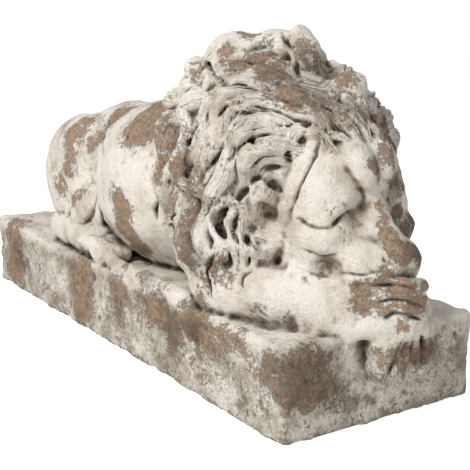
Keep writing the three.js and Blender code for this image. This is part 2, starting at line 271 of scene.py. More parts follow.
# Deep gaps between the locks and round the thigh, as pixels along them, with the cut's width and depth.
GAPS = [
    ([(188, 146), (190, 134), (199, 124)], 5, 8),
    ([(250, 112), (236, 115), (226, 124), (221, 136)], 3.5, 6),
    ([(246, 121), (235, 126), (228, 138)], 3.5, 6),
    ([(281, 156), (264, 159), (250, 170)], 4, 7),
    ([(281, 167), (266, 169), (252, 181)], 4, 7),
    ([(266, 180), (274, 184), (281, 191)], 5, 8),
    ([(236, 202), (241, 194), (248, 187)], 5, 8),
    ([(282, 30), (287, 45), (293, 60), (300, 74)], 4, 9),
    ([(207, 60), (210, 72), (216, 84)], 4, 8),
    ([(236, 46), (248, 50), (262, 46), (276, 44)], 3, 4),
    ([(257, 205), (268, 211), (277, 222)], 6, 6),
    ([(212, 200), (207, 208), (205, 216)], 3.5, 6),
    ([(176, 210), (171, 222), (173, 236)], 3.5, 5.5),
    ([(158, 200), (155, 210), (157, 222)], 3.5, 5.5),
    ([(254, 270), (243, 276), (241, 284), (246, 292)], 3, 5),
    ([(224, 250), (212, 258), (208, 272), (211, 288), (211, 302)], 3.5, 5.5),
    ([(250, 109), (260, 108), (270, 112)], 3.5, 5.5),
    ([(272, 124), (286, 127), (299, 123)], 3, 5),
    ([(289, 150), (288, 157), (290, 163)], 3.5, 6),
    ([(203, 92), (214, 84), (232, 84), (250, 88)], 3, 6),
    ([(280, 100), (255, 98), (230, 104), (212, 122)], 3, 5),
    ([(193, 160), (186, 176), (185, 192)], 3, 6),
    ([(227, 205), (220, 215), (219, 227), (225, 238)], 5.5, 12),
    ([(238, 211), (234, 222), (234, 234), (239, 246)], 3.5, 9),
    ([(258, 222), (250, 228), (247, 238), (250, 248)], 4.5, 9),
    ([(222, 150), (216, 160), (206, 172), (202, 184)], 3, 6),
    ([(170, 150), (166, 164), (170, 180), (166, 194)], 3, 6),
    ([(262, 140), (246, 142), (234, 152), (228, 166)], 3, 6),
    ([(108, 118), (104, 134), (101, 152), (98, 178), (97, 204)], 5, 8),
    ([(97, 196), (92, 214), (84, 226), (76, 238)], 4, 5),
    ([(100, 206), (104, 220), (112, 236)], 4, 6),
]

# The sunk part of the mane behind the ear, given as a pad is, and the thin locks in it, as pixels.
HANGING_HOLLOW = (237, 222, 23, 24, 14, -9, 0)
HANGING_LOCKS = [
    [(214, 198), (210, 212), (213, 230), (222, 246), (226, 262)],
    [(234, 198), (230, 212), (228, 226), (235, 244), (238, 262), (236, 278)],
    [(246, 208), (239, 222), (240, 236), (247, 252), (243, 268), (247, 284)],
    [(258, 222), (250, 234), (252, 246), (256, 258), (251, 270)],
]
HANGING_HALF = 5.5
HANGING_DEPTH = 6
HANGING_STEPS = 17
HANGING_STRANDS = 2
HANGING_GROOVE = 2
HANGING_END = 0.35
HANGING_ROUNDING = 0.6

# Pads of the face: the pixel at the middle, half width, half height and half depth, how far each stands up
# from the surface, or sinks into it, and its turn in degrees.
PADS = [
    (322, 184, 34, 46, 20, 4, -15),
    (367, 172, 13, 28, 14, 3, 20),
    (359, 232, 22, 32, 20, 7, -25),
    (324, 240, 27, 17, 14, 2, -8),
    (356, 260, 28, 18, 14, 1, -5),
    (341, 212, 14, 7, 7, 3, 33),
    (343, 227, 15, 5, 5, 1, 30),
    (394, 259, 8, 7, 7, 2, 0),
    (322, 264, 20, 10, 8, -3, 0),
    (266, 210, 9, 12, 8, -6, 10),
]
PAD_BLEND = 10
PAD_FAR_SINK = 8
PAD_SLOPE = 7

# Creases of the face, given as the gaps are.
CREASES = [
    ([(322, 124), (318, 140), (315, 155), (308, 172), (300, 187), (293, 201), (289, 214)], 2.6, 6),
    ([(344, 164), (352, 176), (361, 187), (365, 199), (361, 209)], 2.4, 3.5),
    ([(355, 188), (366, 191), (380, 195)], 2.2, 2),
    ([(295, 217), (308, 225), (320, 228), (333, 227)], 2.4, 4),
    ([(329, 228), (338, 221), (345, 216), (354, 212)], 2.6, 8),
    ([(331, 201), (341, 202), (348, 206), (353, 212)], 2.2, 2.5),
    ([(298, 247), (310, 253), (325, 256), (344, 252)], 2.6, 3),
    ([(338, 272), (352, 275), (366, 276), (380, 272)], 2.4, 4),
    ([(382, 253), (383, 260), (389, 266), (398, 267)], 2.1, 5),
    ([(366, 260), (368, 267), (373, 274)], 2.4, 2.5),
    ([(302, 271), (318, 275), (336, 277)], 2.4, 2.5),
]
# Gaps between the fingers and between the toes that show, given the same way.
NEAR_CREASES = [
    ([(370, 286), (390, 285), (405, 287), (421, 291)], 2.4, 6),
    ([(374, 303), (392, 300), (408, 303), (423, 306)], 2.4, 6),
    ([(382, 319), (395, 313), (410, 316), (422, 320)], 2.4, 6),
    ([(402, 342), (400, 354), (393, 366), (387, 377)], 3.2, 10),
    ([(413, 341), (415, 354), (412, 366), (408, 377)], 3.2, 10),
    ([(422, 336), (425, 348), (424, 358), (421, 369)], 3.2, 10),
]
STROKE_STEPS = 13
STROKE_TAPER = 0.7
CREASE_BLEND = 1.5

# Short locks whose tips lie on the forehead, and the groove down the middle of the brow.
HAIR_TIPS = 7
HAIR_TIP_TURN = 11
HAIR_TIP_FAN = 1.15
HAIR_TIP_START = 22
HAIR_TIP_END = -27
HAIR_TIP_STAGGER = 5
HAIR_TIP_SWAY = 4
HAIR_TIP_HALF = 9
HAIR_TIP_DEPTH = 7
MID_GROOVE = [(400, 0, 190), (404, 0, 166), (410, 0, 142)]
MID_GROOVE_RADII = [5, 6, 4]

# Weathering: the size and height of the unevenness, and the pits and chips in the plinth.
SEED = 11
LUMP_SIZE = 22
LUMP_HEIGHT = 0.9
GRAIN_SIZE = 7
GRAIN_HEIGHT = 0.6
PLINTH_ROUGHNESS = 1.3
PORE_SIZE = 6
PORE_RARITY = 1.7
PORE_DEPTH = 2
SPLINE_SPAN = 4
SOFTENED_KEEP = 8
PIT_COUNT = 220
PIT_RADII = (2.5, 6)
PIT_FLATNESS = 0.4
CHIP_COUNT = 46
CHIP_RADII = (5, 13)

# Where the wash has gone, and where the body is dark, partly as painted shade: a pixel, a radius in
# millimetres and a strength.
BARE_SPOTS = [
    (141, 126, 40, 1.4), (122, 114, 30, 1.2), (155, 108, 24, 1.3), (120, 206, 26, 1.2),
    (124, 228, 30, 1.4), (138, 246, 24, 1.2), (73, 135, 32, 1), (70, 165, 30, 0.9), (84, 122, 24, 0.8),
    (379, 206, 8, 1.2), (383, 219, 9, 1.3), (389, 234, 11, 1.3), (398, 247, 12, 1.3), (406, 257, 11, 1.2),
    (364, 289, 14, 1), (384, 283, 16, 1), (405, 289, 18, 1), (363, 304, 14, 1), (388, 305, 18, 1),
    (411, 308, 17, 1), (402, 326, 9, 0.9), (408, 353, 6, 1.3), (405, 368, 6, 1.2), (418, 356, 9, 1.3),
    (427, 348, 9, 1.3), (424, 286, 7, 1.2), (425, 302, 7, 1.2), (80, 265, 40, 0.8), (82, 296, 36, 0.8),
    (158, 302, 36, 0.8), (184, 318, 36, 0.9), (206, 330, 30, 0.8), (14, 230, 40, 0.8), (16, 258, 40, 0.8),
    (120, 280, 36, 0.6), (230, 330, 30, 0.6), (150, 272, 30, 0.7), (167, 135, 24, 0.9),
    (176, 168, 26, 0.8), (160, 165, 22, 0.8), (196, 190, 20, 0.7), (250, 35, 18, 1), (258, 56, 20, 0.7),
    (276, 68, 22, 0.8), (292, 92, 18, 1), (312, 80, 20, 0.4), (330, 96, 20, 0.4), (352, 120, 18, 0.5),
    (345, 75, 18, 0.8), (305, 50, 14, 0.8), (374, 165, 10, 0.8), (198, 70, 16, 0.7), (390, 150, 20, 0.8),
    (216, 270, 24, 0.6), (62, 185, 24, 0.9), (95, 140, 18, 0.7), (76, 196, 20, 0.8), (225, 48, 16, 0.8),
    (242, 62, 18, 0.8), (265, 42, 14, 0.9), (162, 142, 26, 0.6), (170, 200, 26, 0.6), (196, 216, 22, 0.5),
    (186, 246, 22, 0.7),
]
# Dark patches, and painted shade on the far side of the nose and under the forearm.
DARK_AND_SHADE_SPOTS = [
    (275, 368, 26, 0.5), (296, 384, 28, 0.6), (314, 362, 24, 0.5), (330, 392, 24, 0.5),
    (284, 398, 22, 0.5), (20, 255, 26, 0.5), (172, 330, 26, 0.6), (322, 264, 14, 0.6),
    (398, 186, 20, 0.8), (412, 225, 18, 0.8), (388, 130, 30, 0.7), (418, 358, 9, 0.5),
    (428, 348, 10, 0.8), (326, 100, 22, 0.4), (312, 62, 14, 0.7), (278, 78, 20, 0.35),
    (200, 262, 24, 0.6), (110, 225, 24, 0.6), (190, 326, 12, 0.9), (396, 212, 10, 1.2),
    (405, 233, 11, 1.2), (415, 250, 12, 1.2), (420, 261, 9, 1), (255, 312, 15, 0.7), (290, 322, 15, 0.7),
    (322, 329, 11, 0.5), (150, 284, 14, 0.6),
]
SPOT_EDGE = 1.5
CAVITY_BLUR = 2
HOLLOW_BLUR = 6
BLUR_PASSES = 3
STRAND_JUMP = 2.2


def mirrored(place):
    """The same place on the other side of the lion."""
    return (place[0], -place[1], *place[2:])


def both_sides(places):
    return [*places, *map(mirrored, places)]


MANE_LOBES = [*MANE, *both_sides(MANE_SIDE)]


# Distances

def smooth_min(first, second, blend):
    """The smaller of two distances, rounded where they meet."""
    overlap = np.maximum(blend - np.abs(first - second), 0) / blend
    return np.minimum(first, second) - overlap * overlap * blend / 4


def ellipsoid(parts, sizes):
    """The distance to an ellipsoid, below nought inside it, from places given in its half sizes."""
    near = np.sqrt(sum(part ** 2 for part in parts))
    steep = np.sqrt(sum((part / size) ** 2 for part, size in zip(parts, sizes)))
    return near * (near - 1) / np.maximum(steep, TINY)


def beside_line(x, y, z, start, run):
    """How far along a line the nearest point to each place is, and the square of its distance."""
    dx, dy, dz = x - start[0], y - start[1], z - start[2]
    share = np.clip((dx * run[0] + dy * run[1] + dz * run[2]) / (run @ run), 0, 1)
    return share, (dx - share * run[0]) ** 2 + (dy - share * run[1]) ** 2 + (dz - share * run[2]) ** 2


def grooves(phase):
    """The depth of rounded grooves, from nought between them to one in their middles."""
    return (0.5 + 0.5 * np.cos(phase)) ** 2


def unit(rows):
    return rows / np.maximum(np.linalg.norm(rows, axis=1, keepdims=True), TINY)


def on_sides(line, sides=BOTH_SIDES):
    """The points and directions of a line, on each side of the lion."""
    return [[part * flip for part in line] for flip in sides]


def lobe_distance(x, y, z, lobe):
    """The distance to a tilted ellipsoid, below nought inside it."""
    tilt = math.radians(lobe[6])
    dx, dy, dz = x - lobe[0], y - lobe[1], z - lobe[2]
    along = dx * math.cos(tilt) - dz * math.sin(tilt)
    rise = dx * math.sin(tilt) + dz * math.cos(tilt)
    parts = (along / lobe[3], dy / lobe[4], rise / lobe[5])
    return ellipsoid(parts, lobe[3:6])


class Clay:
    """A block of space whose field is the distance to the shape, below nought inside it."""

    def __init__(self, low, high):
        self.low = np.array(low, float)
        self.high = np.array(high, float)
        self.axes = [np.arange(a, b + CELL, CELL, dtype=np.float32) for a, b in zip(low, high)]
        self.field = np.full([len(axis) for axis in self.axes], FAR, np.float32)
        self.strand = np.zeros_like(self.field)
        self.hair = np.zeros_like(self.field)

    def window(self, low, high):
        """The part of the grid between two corners, and its coordinates."""
        cuts = []
        coordinates = []
        for i, axis in enumerate(self.axes):
            start = max(0, int((low[i] - self.low[i]) / CELL))
            end = min(len(axis), int((high[i] - self.low[i]) / CELL) + 2)
            cuts.append(slice(start, max(start, end)))
            shape = [1, 1, 1]
            shape[i] = -1
            coordinates.append(axis[cuts[i]].reshape(shape))
        return tuple(cuts), coordinates

    def join(self, cuts, distance, blend):
        self.field[cuts] = smooth_min(self.field[cuts], distance, blend)

    def carve(self, cuts, distance, blend):
        self.field[cuts] = -smooth_min(-self.field[cuts], distance, blend)

    def lobe(self, lobe, blend, action=None):
        """Adds a lobe, or carves it away."""
        reach = max(lobe[3:6]) + blend + GRID_SPARE
        middle = np.array(lobe[:3], float)
        cuts, (x, y, z) = self.window(middle - reach, middle + reach)
        (action or self.join)(cuts, lobe_distance(x, y, z, lobe), blend)

    def pad(self, middle, axes, sizes, blend, action=None):
        """Adds an ellipsoid that lies along three given directions, or carves it away."""
        reach = max(sizes) + blend + GRID_SPARE
        cuts, (x, y, z) = self.window(middle - reach, middle + reach)
        dx, dy, dz = x - middle[0], y - middle[1], z - middle[2]
        parts = [(dx * axis[0] + dy * axis[1] + dz * axis[2]) / size for axis, size in zip(axes, sizes)]
        (action or self.join)(cuts, ellipsoid(parts, sizes), blend)

    def limb(self, points, radii, blend, action=None):
        """Adds a round limb along points, or carves it away."""
        points = np.asarray(points, np.float32)
        margin = max(radii) + blend + GRID_SPARE
        cuts, (x, y, z) = self.window(points.min(0) - margin, points.max(0) + margin)
        distance = FAR
        for start, run, first, last in zip(points, np.diff(points, axis=0), radii, radii[1:]):
            share, away = beside_line(x, y, z, start, run)
            distance = np.minimum(distance, np.sqrt(away) - first - share * (last - first))
        (action or self.join)(cuts, distance, blend)

    def ribbon(self, line, widths, depths, blend, strands=1, groove=0, action=None):
        """Adds a lock, an oval swept along points with grooves between its strands, or carves it away."""
        points, across, out = line
        margin = max(widths.max(), depths.max()) + blend + GRID_SPARE
        cuts, (x, y, z) = self.window(points.min(0) - margin, points.max(0) + margin)
        nearest = np.full(np.broadcast_shapes(x.shape, y.shape, z.shape), np.inf, np.float32)
        place = np.zeros_like(nearest)
        for i, (start, run) in enumerate(zip(points, np.diff(points, axis=0))):
            share, away = beside_line(x, y, z, start, run)
            closer = away < nearest
            nearest[closer] = away[closer]
            place[closer] = (i + share)[closer]
        close = nearest < margin * margin
        step = np.minimum(place[close].astype(int), len(points) - 2)
        share = (place[close] - step)[:, None]

        def between(values):
            values = values.reshape(len(points), -1)
            return values[step] * (1 - share) + values[step + 1] * share

        spots = np.stack([np.broadcast_to(axis, nearest.shape)[close] for axis in (x, y, z)], 1)
        offset = spots - between(points)
        width, depth = between(widths)[:, 0], between(depths)[:, 0]
        sideways = (offset * between(across)).sum(1) / width
        outwards = (offset * between(out)).sum(1) / depth
        beyond = np.maximum((offset ** 2).sum(1) - (sideways * width) ** 2 - (outwards * depth) ** 2, 0)
        distance = (np.sqrt(sideways ** 2 + outwards ** 2 + beyond / depth ** 2) - 1) * depth
        phase = math.pi * strands * (np.clip(sideways, -1, 1) + 1)
        distance += groove * grooves(phase) * depth / depths.max()
        full = np.full(nearest.shape, FAR, np.float32)
        full[close] = distance
        if groove:
            lateral = np.zeros_like(full)
            lateral[close] = sideways * width
            on_top = full < np.minimum(self.field[cuts], SKIN)
            self.strand[cuts][on_top] = lateral[on_top]
            self.hair[cuts][on_top] = 1
        (action or self.join)(cuts, full, blend)

    def at(self, points, values=None):
        """The field, or another grid of values, at points between the grid's corners."""
        values = self.field if values is None else values
        spots = (np.asarray(points, float) - self.low) / CELL
        spots = np.clip(spots, 0, np.array(values.shape) - 1 - TINY)
        corner = spots.astype(int)
        share = spots - corner
        total = 0
        for i, j, k in np.ndindex(2, 2, 2):
            weight = np.prod(np.where((i, j, k), share, 1 - share), axis=1)
            total = total + weight * values[tuple((corner + (i, j, k)).T)]
        return total


# Places seen in the photograph

def camera_axes():
    """The camera's right, up and backward directions."""
    flat = math.cos(CAMERA_ELEVATION)
    ahead, aside = math.cos(CAMERA_AZIMUTH), math.sin(CAMERA_AZIMUTH)
    right = np.array((ahead, aside, 0))
    back = np.array((aside * flat, -ahead * flat, math.sin(CAMERA_ELEVATION)))
    return right, np.cross(back, right), back


def seen(clay, pixels):
    """The points of the surface that pixels of the photograph look at."""
    right, up, back = camera_axes()
    eye = np.array(CAMERA_PLACE) - PLINTH_HEIGHT * UP
    steps = np.arange(FAR, 2 * PLINTH_LENGTH, CELL / 2)[:, None]
    places = []
    for column, row in pixels:
        aside = (column - IMAGE_SIZE / 2) / FOCAL_PIXELS
        above = (IMAGE_SIZE / 2 - row) / FOCAL_PIXELS
        points = eye + steps * (aside * right + above * up - back)
        outside_grid = np.any((points < clay.low) | (points > [axis[-1] for axis in clay.axes]), axis=1)
        inside = np.where(outside_grid, FAR, clay.at(points)) < 0
        if inside.any():
            places.append(points[np.argmax(inside)])
    return np.array(places)


def traced(clay, pixels, steps, slope, smoothing=0):
    """Points on the surface along pixels, with the directions across the line and out of the surface."""
    share = np.linspace(0, 1, steps)
    order = np.linspace(0, 1, len(pixels))
    points = seen(clay, np.transpose([np.interp(share, order, column) for column in np.transpose(pixels)]))
    for _ in range(smoothing):
        points[1:-1] = (points[:-2] + 2 * points[1:-1] + points[2:]) / 4
    out = steepest(clay.at, points, slope)
    return points, unit(np.cross(out, np.gradient(points, axis=0))), out


# The lion's body

def body(clay):
    for lobe in TORSO:
        clay.lobe(lobe, TORSO_BLEND)
    for lobe in both_sides(HAUNCH):
        clay.lobe(lobe, HAUNCH_BLEND)


def hind_feet(clay):
    for flip in (tuple, mirrored):
        clay.limb([flip(place) for place in HIND_FOOT], HIND_FOOT_RADII, LIMB_BLEND)
        for i in range(HIND_TOES):
            y = HIND_TOE_FIRST + HIND_TOE_PITCH * i
            line = [flip((x, y, height)) for x, height in HIND_TOE_LINE]
            clay.limb(line, HIND_TOE_RADII, TOE_BLEND)


def forelegs(clay):
    clay.lobe(BREAST, FOREARM_BLEND)
    clay.limb(FOREARM_LEFT, FOREARM_RADII, FOREARM_BLEND)
    clay.lobe(LEFT_PALM, LIMB_BLEND)
    for top, tip, radius in zip(TOE_TOPS, TOE_TIPS, TOE_RADII):
        clay.limb([top, tip], [radius, radius], TOE_BLEND)
    clay.limb(FOREARM_RIGHT, FOREARM_RADII, FOREARM_BLEND)
    clay.limb(WRIST_FILLING, WRIST_FILLING_RADII, FOREARM_BLEND)
    for height, radius in zip(FINGER_HEIGHTS, FINGER_RADII):
        line = [
            (*FINGER_ROOT, height),
            (*FINGER_KNUCKLE, height + FINGER_ARCH),
            (*FINGER_TIP, height - FINGER_ARCH),
        ]
        clay.limb(line, [radius] * len(line), TOE_BLEND)


# The head

def head(clay):
    for lobe in SKULL:
        clay.lobe(lobe, SKULL_BLEND)
    left_cheek = [(x, LEFT_CHEEK_SHARE * y, *rest) for x, y, *rest in CHEEK_SIDE]
    cheeks = [*map(mirrored, CHEEK_SIDE), *left_cheek]
    for lobe in [*both_sides(BROW_SIDE), *cheeks, *NOSE, *both_sides([NOSE_WING])]:
        clay.lobe(lobe, FACE_BLEND)
    for flip in (tuple, mirrored):
        clay.lobe(flip(EAR), LIMB_BLEND)


def hanging_locks(clay):
    """Lays the thin locks that hang behind each ear."""
    for pixels in HANGING_LOCKS:
        traces = traced(clay, pixels, HANGING_STEPS, PAD_SLOPE, len(pixels))
        swell = np.sin(math.pi * np.linspace(0, 1, len(traces[0]))) ** HANGING_ROUNDING
        swell = HANGING_END + (1 - HANGING_END) * swell
        sizes = HANGING_HALF * swell, HANGING_DEPTH * swell
        for line in on_sides(traces):
            clay.ribbon(line, *sizes, LOCK_BLEND, HANGING_STRANDS, HANGING_GROOVE)


def bridge(clay):
    """The flat bridge of the nose."""
    count = len(NOSE_BRIDGE)
    across, out = (np.tile(direction, (count, 1)) for direction in (LEFT, NOSE_BRIDGE_OUT))
    sizes = np.array(NOSE_BRIDGE_WIDTHS), np.full(count, NOSE_BRIDGE_DEPTH)
    clay.ribbon((np.array(NOSE_BRIDGE), across, out), *sizes, LIMB_BLEND)


def band(clay):
    """The flat lock that frames each side of the face."""
    points, sideways, out = traced(clay, BAND, BAND_STEPS, PAD_SLOPE, BAND_STEPS)
    points = points + BAND_RISE * out
    share = np.linspace(0, 1, len(points))
    order = np.linspace(0, 1, len(BAND))
    widths, depths = (np.interp(share, order, sizes) for sizes in (BAND_WIDTHS, BAND_DEPTHS))
    for line in on_sides((points, sideways, out)):
        clay.ribbon(line, widths, depths, BAND_BLEND)


def pads(clay):
    """Swells and sinks the face's surface where the photograph shows it, and the same on the other side."""
    right, up, _ = camera_axes()
    for column, row, half_width, half_height, half_depth, rise, turn in [*PADS, HANGING_HOLLOW]:
        place = seen(clay, [(column, row)])
        out = steepest(clay.at, place, PAD_SLOPE)[0]
        along = math.cos(math.radians(turn)) * right + math.sin(math.radians(turn)) * up
        along = along - (along @ out) * out
        along /= np.linalg.norm(along)
        axes = np.array((along, np.cross(out, along), out))
        middle = place[0] + out * (rise - math.copysign(half_depth, rise))
        action = clay.join if rise > 0 else clay.carve
        sizes = (half_width, half_height, half_depth)
        clay.pad(middle, axes, sizes, PAD_BLEND, action)
        flip = BOTH_SIDES[1]
        clay.pad((middle - PAD_FAR_SINK * out) * flip, axes * flip, sizes, PAD_BLEND, action)


def creases(clay):
    """Cuts the gaps and creases where the photograph shows them, and most of them on the other side too."""
    clay.limb(MID_GROOVE, MID_GROOVE_RADII, CREASE_BLEND, clay.carve)
    strokes = [(*row, BOTH_SIDES) for row in (*GAPS, *CREASES)]
    strokes += [(*row, BOTH_SIDES[:1]) for row in NEAR_CREASES]
    for pixels, width, depth, sides in strokes:
        traces = traced(clay, pixels, STROKE_STEPS, SKIN)
        share = np.linspace(0, 1, len(traces[0]))
        strength = 1 - STROKE_TAPER * (1 - np.sin(math.pi * share)) ** 2
        sizes = width * strength, depth * strength
        for line in on_sides(traces, sides):
            clay.ribbon(line, *sizes, CREASE_BLEND, action=clay.carve)


# The mane

def mane_ground(points):
    """The distance to the mane without its locks."""
    x, y, z = points.T
    distance = FAR
    for lobe in [*MANE_LOBES, *TORSO, SKULL[0]]:
        distance = smooth_min(distance, lobe_distance(x, y, z, lobe), MANE_BLEND)
    return distance


def settled(starts, directions, reach, ground):
    """Where lines from points inside the ground come out of it."""
    low = np.zeros(len(starts))
    high = np.full(len(starts), float(reach))
    for _ in range(HALVINGS):
        middle = (low + high) / 2
        inside = ground(starts + directions * middle[:, None]) < 0
        low = np.where(inside, middle, low)
        high = np.where(inside, high, middle)
    return starts + directions * low[:, None]


def round_face(flat, ground):
    """The ground at distances round from the top of the head and distances behind the face."""
    angle = flat[:, :1] / MANE_RADIUS
    starts = FACE - FACE_AXIS * flat[:, 1:]
    return settled(starts, np.cos(angle) * FACE_UP + np.sin(angle) * LEFT, MANE_REACH, ground)


def straight_up(flat, ground):
    """The ground straight above places on the plinth."""
    starts = np.column_stack((flat, np.zeros(len(flat))))
    return settled(starts, np.tile(UP, (len(flat), 1)), 2 * MANE_REACH, ground)


def steepest(ground, points, step=SLOPE_STEP):
    """The direction straight out of the ground at points."""
    slopes = [ground(points + step * axis) - ground(points - step * axis) for axis in np.eye(3)]
    return unit(np.stack(slopes, 1))


def lay_lock(clay, settle, row, sink=0, ground=mane_ground):
    """Lays one lock on the ground between two flat places, bowed to one side or swaying to both."""
    first_x, first_y, last_x, last_y, bow, sway, half, deep = row
    share = np.linspace(0, 1, LOCK_STEPS)
    start = np.array((first_x, first_y))
    run = np.array((last_x, last_y)) - start
    across = np.array((-run[1], run[0])) / np.linalg.norm(run)
    if across[1] < 0:
        across = -across
    bend = bow * np.sin(math.pi * share) + sway * np.sin(2 * math.pi * share)
    points = settle(start + share[:, None] * run + bend[:, None] * across, ground)
    out = steepest(ground, points)
    sideways = unit(np.cross(out, np.gradient(points, axis=0)))
    swell = np.sin(math.pi * (LOCK_SWELL_START + LOCK_SWELL_RUN * share) ** LOCK_SWELL_LEAN)
    swell = LOCK_ROOT + (1 - LOCK_ROOT) * swell
    widths = half * swell * (1 - LOCK_WIDTH_TAPER * share ** LOCK_TAPER_POWER)
    depths = deep * swell * (1 - LOCK_DEPTH_TAPER * share ** LOCK_TAPER_POWER)
    lift = LOCK_LIFT * np.sin(math.pi * np.minimum(1, LOCK_LIFT_RUN * share)) - LOCK_SINK
    points = points + out * (sink + deep * lift)[:, None]
    strands = round(2 * half / STRAND_WIDTH)
    clay.ribbon((points, sideways, out), widths, depths, LOCK_BLEND, strands, LOCK_GROOVE)


def laid_out(row):
    """A row of the lock table with its angles turned into distances round the head."""
    first, start, last, end, *rest = row
    return (math.radians(first) * MANE_RADIUS, start, math.radians(last) * MANE_RADIUS, end, *rest)


def filling(chance):
    """The smaller locks of one side, flowing back on top, down at the side and forward below."""
    rows = []
    for angle in FILL_ANGLES:
        for distance in FILL_DISTANCES:
            shift = FILL_SPREAD * chance.uniform(-1, 1, 2)
            run = FILL_RUN * math.cos(FILL_FLOW * math.radians(angle))
            sway = FILL_SWAY * chance.uniform(-1, 1)
            bow = FILL_SWAY * chance.uniform(-1, 1)
            first, start = angle + shift[0], distance + shift[1]
            rows.append((first, start, first + FILL_TURN, start + run, bow, sway, FILL_HALF, FILL_DEPTH))
    return rows


def front_locks():
    """The locks that sweep back from the forehead."""
    rows = []
    for i in range(FORELOCKS):
        off = i - (FORELOCKS - 1) / 2
        ends = (off * FORELOCK_SPREAD, FORELOCK_STAGGER * abs(off), off * FORELOCK_FAN, FORELOCK_LENGTH)
        rows.append((*ends, FORELOCK_BOW * off, FORELOCK_SWAY, FORELOCK_HALF, FORELOCK_HALF))
    return rows


def hair_tips(clay):
    """Lays the short locks of the hairline with their tips on the forehead."""
    for i in range(HAIR_TIPS):
        angle = HAIR_TIP_TURN * (i - (HAIR_TIPS - 1) / 2)
        shift = HAIR_TIP_STAGGER * (i % 2)
        ends = (angle * HAIR_TIP_FAN, HAIR_TIP_START + shift, angle, HAIR_TIP_END + shift)
        row = (*ends, 0, HAIR_TIP_SWAY * (-1) ** i, HAIR_TIP_HALF, HAIR_TIP_DEPTH)
        lay_lock(clay, round_face, laid_out(row), 0, clay.at)


def other_side(rows):
    return [(-first, start, -last, *rest) for first, start, last, *rest in rows]


def comb(clay, chance):
    """Combs wavy strands into the mane, running the way its locks lie."""
    cuts, (x, y, z) = clay.window((0, -PLINTH_WIDTH, 0), (FACE[0], PLINTH_WIDTH, FAR + 2 * MANE_REACH))
    forms = (MANE_LOBES, CROWN, TORSO)
    gaps = [[lobe_distance(x, y, z, lobe) for lobe in form] for form in forms]
    mane_gap, crown_gap, torso_gap = (np.minimum.reduce(gap) for gap in gaps)
    dx, dz = x - FACE[0], z - FACE[2]
    behind = -dx * FACE_AXIS[0] - dz * FACE_AXIS[2]
    angle = np.abs(np.arctan2(y, dx * FACE_UP[0] + dz * FACE_UP[2]))
    turn = math.radians(FILL_TURN) * MANE_RADIUS
    run = FILL_RUN * np.cos(FILL_FLOW * angle)
    place = (behind * turn - angle * MANE_RADIUS * run) / np.hypot(turn, run)
    place = place + COMB_SHIFT * unevenness(clay, COMB_WAVE, chance)[cuts]
    share = 1
    for gap in (torso_gap - mane_gap, behind, crown_gap - mane_gap):
        share = share * np.clip(gap / COMB_EDGE, 0, 1)
    share = np.maximum(share, CROWN_COMB * (crown_gap < mane_gap))
    clay.field[cuts] += COMB_DEPTH * grooves(2 * math.pi * place / COMB_PITCH) * share
    clay.strand[cuts] = place
    clay.hair[cuts] = np.clip(share, 0, 1)


def mane(clay, chance):
    for lobe in MANE_LOBES:
        clay.lobe(lobe, MANE_BLEND)
    for lobe in CROWN:
        clay.lobe(lobe, CROWN_BLEND)
    comb(clay, chance)
    for row in [*filling(chance), *other_side(filling(chance))]:
        lay_lock(clay, round_face, laid_out(row), FILL_SINK)
    left = []
    for first, start, last, end, *rest in LOCKS:
        turn = ANGLE_SPREAD * chance.uniform(-0.5, 0.5)
        shift = DISTANCE_SPREAD * chance.uniform(-0.5, 0.5)
        left.append((first + turn, start + shift, last + turn, end + shift, *rest))
    for row in [*other_side(LOCKS), *left, *front_locks()]:
        lay_lock(clay, round_face, laid_out(row))
    for x, y, last_x, last_y, *rest in NAPE:
        for side in (1, -1):
            lay_lock(clay, straight_up, (x, side * y, last_x, side * last_y, *rest))


# The plinth and the weathering

def plinth(clay, chance):
    """The oblong plinth, its top rising a little under the lion's rump."""
    block = Clay(clay.low, clay.high)
    _, (x, y, z) = clay.window(clay.low, clay.high)
    rise = REAR_RISE * np.clip((x - REAR_RISE_START) / (REAR_RISE_END - REAR_RISE_START), 0, 1)
    half = np.array((PLINTH_LENGTH, PLINTH_WIDTH)) / 2 - PLINTH_ROUNDING
    gaps = (np.abs(x) - half[0], np.abs(y) - half[1], z - rise + PLINTH_ROUNDING)
    outside = np.sqrt(sum(np.maximum(gap, 0) ** 2 for gap in gaps))
    inside = np.minimum(np.maximum(np.maximum(gaps[0], gaps[1]), gaps[2]), 0)
    block.field = outside + inside - PLINTH_ROUNDING
    block.lobe(SCOOP, PLINTH_BLEND, block.carve)
    wear_plinth(block, chance)
    clay.field = smooth_min(clay.field, block.field, PLINTH_BLEND)
    clay.limb(TAIL, TAIL_RADII, LIMB_BLEND)


def wear_plinth(block, chance):
    """Carves pits in the plinth's faces and chips off its top edges."""
    half_length, half_width = PLINTH_LENGTH / 2, PLINTH_WIDTH / 2
    for _ in range(PIT_COUNT):
        radius = chance.uniform(*PIT_RADII)
        along, around = chance.uniform(-1, 1), chance.uniform(-1, 1)
        drop = chance.uniform(-PLINTH_HEIGHT, 0)
        flat = radius * PIT_FLATNESS
        if chance.uniform() < half_length / (half_length + half_width):
            side = math.copysign(half_width, around)
            pit = (along * half_length, side, drop, radius, flat, radius, 0)
        else:
            end = math.copysign(half_length, along)
            pit = (end, around * half_width, drop, flat, radius, radius, 0)
        block.lobe(pit, CREASE_BLEND, block.carve)
    for _ in range(CHIP_COUNT):
        radius = chance.uniform(*CHIP_RADII)
        along, across = chance.uniform(-1, 1), chance.choice((-1, 1))
        place = (along * half_length, across * (half_width + radius / 2), radius / 2)
        if chance.uniform() < half_width / half_length:
            place = (across * (half_length + radius / 2), along * half_width, radius / 2)
        block.lobe((*place, radius, radius, radius, 0), CREASE_BLEND, block.carve)


